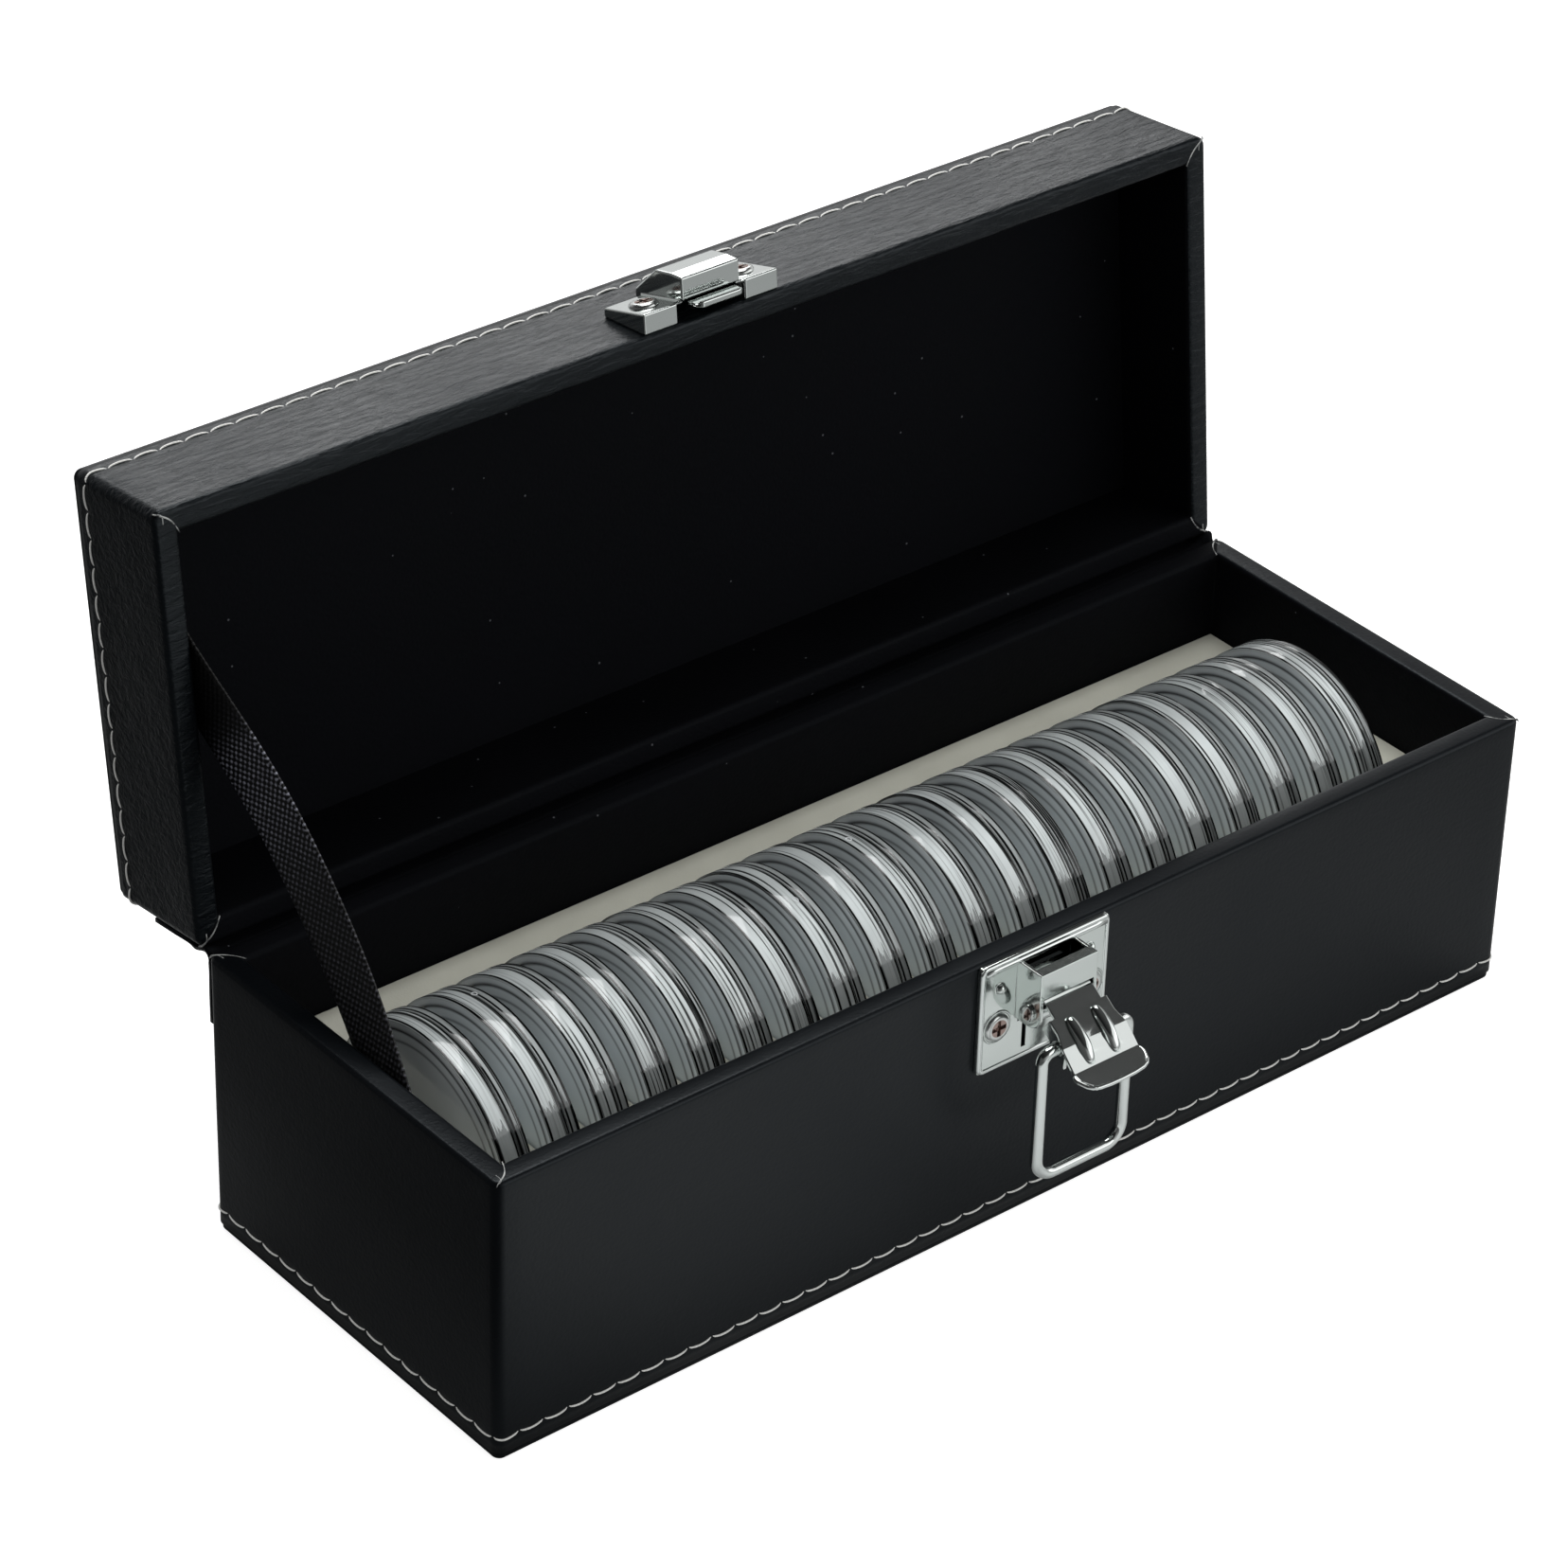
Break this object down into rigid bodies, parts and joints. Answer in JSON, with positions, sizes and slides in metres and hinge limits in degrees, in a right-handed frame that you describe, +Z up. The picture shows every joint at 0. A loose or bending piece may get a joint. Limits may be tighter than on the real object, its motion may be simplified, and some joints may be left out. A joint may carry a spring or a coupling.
{
  "type": "medal storage box",
  "caption": "Leather-covered hinged box with a slotted insert for round capsules on edge, a ribbon lid stay and a pull-ring latch.",
  "frame": {"origin": "middle of the underside, on the surface that the box stands on", "axes": "+X along the length to the right, -Y towards the front and the latch, +Z up; the lid stands open at rest"},
  "size_m": [0.2406, 0.1434, 0.1507],
  "materials": {
    "black_leather": "glossy coated leather, fine grain",
    "black_lining": "matt coated lining",
    "grey_board": "raw grey board",
    "white_thread": "waxed white thread",
    "cream_foam": "flocked foam",
    "clear_capsule": "clear polished acrylic",
    "silver_medal": "plain satin silver-grey metal",
    "black_ribbon": "woven ribbon",
    "chrome_sheet": "bright chromed sheet",
    "chrome_wire": "bright chromed wire",
    "nickel_screw": "nickelled, slightly pink",
    "spring_steel": "bare spring steel"
  },
  "bodies": {
    "root": {"base_board": "grey_board", "base_cover": "black_leather", "bottom_panel": "black_leather", "base_stitching": "white_thread", "insert": "cream_foam", "spine_hinge": "black_leather", "stay_ribbon": "black_ribbon", "latch_plate": "chrome_sheet", "latch_screws": "nickel_screw", "latch_pin": "chrome_sheet", "latch_spring": "spring_steel"},
    "lid": {"lid_board": "grey_board", "lid_cover": "black_leather", "lid_top_panel": "black_leather", "lid_lining": "black_lining", "lid_stitching": "white_thread", "strike_plate": "chrome_sheet", "strike_screws": "nickel_screw"},
    "lever": {"latch_lever": "chrome_sheet"},
    "ring": {"pull_ring": "chrome_wire"},
    "capsule_01": {"capsule_01": "clear_capsule", "medal_01": "silver_medal"},
    "capsule_02": {"capsule_02": "clear_capsule", "medal_02": "silver_medal"},
    "capsule_03": {"capsule_03": "clear_capsule", "medal_03": "silver_medal"},
    "capsule_04": {"capsule_04": "clear_capsule", "medal_04": "silver_medal"},
    "capsule_05": {"capsule_05": "clear_capsule", "medal_05": "silver_medal"},
    "capsule_06": {"capsule_06": "clear_capsule", "medal_06": "silver_medal"},
    "capsule_07": {"capsule_07": "clear_capsule", "medal_07": "silver_medal"},
    "capsule_08": {"capsule_08": "clear_capsule", "medal_08": "silver_medal"},
    "capsule_09": {"capsule_09": "clear_capsule", "medal_09": "silver_medal"},
    "capsule_10": {"capsule_10": "clear_capsule", "medal_10": "silver_medal"},
    "capsule_11": {"capsule_11": "clear_capsule", "medal_11": "silver_medal"},
    "capsule_12": {"capsule_12": "clear_capsule", "medal_12": "silver_medal"},
    "capsule_13": {"capsule_13": "clear_capsule", "medal_13": "silver_medal"},
    "capsule_14": {"capsule_14": "clear_capsule", "medal_14": "silver_medal"},
    "capsule_15": {"capsule_15": "clear_capsule", "medal_15": "silver_medal"},
    "capsule_16": {"capsule_16": "clear_capsule", "medal_16": "silver_medal"},
    "capsule_17": {"capsule_17": "clear_capsule", "medal_17": "silver_medal"},
    "capsule_18": {"capsule_18": "clear_capsule", "medal_18": "silver_medal"},
    "capsule_19": {"capsule_19": "clear_capsule", "medal_19": "silver_medal"},
    "capsule_20": {"capsule_20": "clear_capsule", "medal_20": "silver_medal"}
  },
  "joints": [
    {"name": "lid_hinge", "type": "hinge", "parent": "root", "child": "lid", "pos_m": [0, 0.04282, 0.0581], "axis": [-1, 0, 0], "range_deg": [-96.26, 0], "deforming": ["spine_hinge", "stay_ribbon"]},
    {"name": "lever_hinge", "type": "hinge", "parent": "root", "child": "lever", "pos_m": [0, -0.0465, 0.0483], "axis": [-1, 0, 0], "range_deg": [-58, 8], "stiffness_Nm_per_rad": 0.05},
    {"name": "ring_hinge", "type": "hinge", "parent": "lever", "child": "ring", "pos_m": [0, -0.0545, 0.0449], "axis": [-1, 0, 0], "range_deg": [-8, 58]},
    {"name": "capsule_01_lift", "type": "slide", "parent": "root", "child": "capsule_01", "axis": [0, 0, 1], "range_m": [0, 0.06]},
    {"name": "capsule_02_lift", "type": "slide", "parent": "root", "child": "capsule_02", "axis": [0, 0, 1], "range_m": [0, 0.06]},
    {"name": "capsule_03_lift", "type": "slide", "parent": "root", "child": "capsule_03", "axis": [0, 0, 1], "range_m": [0, 0.06]},
    {"name": "capsule_04_lift", "type": "slide", "parent": "root", "child": "capsule_04", "axis": [0, 0, 1], "range_m": [0, 0.06]},
    {"name": "capsule_05_lift", "type": "slide", "parent": "root", "child": "capsule_05", "axis": [0, 0, 1], "range_m": [0, 0.06]},
    {"name": "capsule_06_lift", "type": "slide", "parent": "root", "child": "capsule_06", "axis": [0, 0, 1], "range_m": [0, 0.06]},
    {"name": "capsule_07_lift", "type": "slide", "parent": "root", "child": "capsule_07", "axis": [0, 0, 1], "range_m": [0, 0.06]},
    {"name": "capsule_08_lift", "type": "slide", "parent": "root", "child": "capsule_08", "axis": [0, 0, 1], "range_m": [0, 0.06]},
    {"name": "capsule_09_lift", "type": "slide", "parent": "root", "child": "capsule_09", "axis": [0, 0, 1], "range_m": [0, 0.06]},
    {"name": "capsule_10_lift", "type": "slide", "parent": "root", "child": "capsule_10", "axis": [0, 0, 1], "range_m": [0, 0.06]},
    {"name": "capsule_11_lift", "type": "slide", "parent": "root", "child": "capsule_11", "axis": [0, 0, 1], "range_m": [0, 0.06]},
    {"name": "capsule_12_lift", "type": "slide", "parent": "root", "child": "capsule_12", "axis": [0, 0, 1], "range_m": [0, 0.06]},
    {"name": "capsule_13_lift", "type": "slide", "parent": "root", "child": "capsule_13", "axis": [0, 0, 1], "range_m": [0, 0.06]},
    {"name": "capsule_14_lift", "type": "slide", "parent": "root", "child": "capsule_14", "axis": [0, 0, 1], "range_m": [0, 0.06]},
    {"name": "capsule_15_lift", "type": "slide", "parent": "root", "child": "capsule_15", "axis": [0, 0, 1], "range_m": [0, 0.06]},
    {"name": "capsule_16_lift", "type": "slide", "parent": "root", "child": "capsule_16", "axis": [0, 0, 1], "range_m": [0, 0.06]},
    {"name": "capsule_17_lift", "type": "slide", "parent": "root", "child": "capsule_17", "axis": [0, 0, 1], "range_m": [0, 0.06]},
    {"name": "capsule_18_lift", "type": "slide", "parent": "root", "child": "capsule_18", "axis": [0, 0, 1], "range_m": [0, 0.06]},
    {"name": "capsule_19_lift", "type": "slide", "parent": "root", "child": "capsule_19", "axis": [0, 0, 1], "range_m": [0, 0.06]},
    {"name": "capsule_20_lift", "type": "slide", "parent": "root", "child": "capsule_20", "axis": [0, 0, 1], "range_m": [0, 0.06]}
  ],
  "couplings": [
    {"joint": "ring_hinge", "follows": "lever_hinge", "ratio": -1}
  ]
}
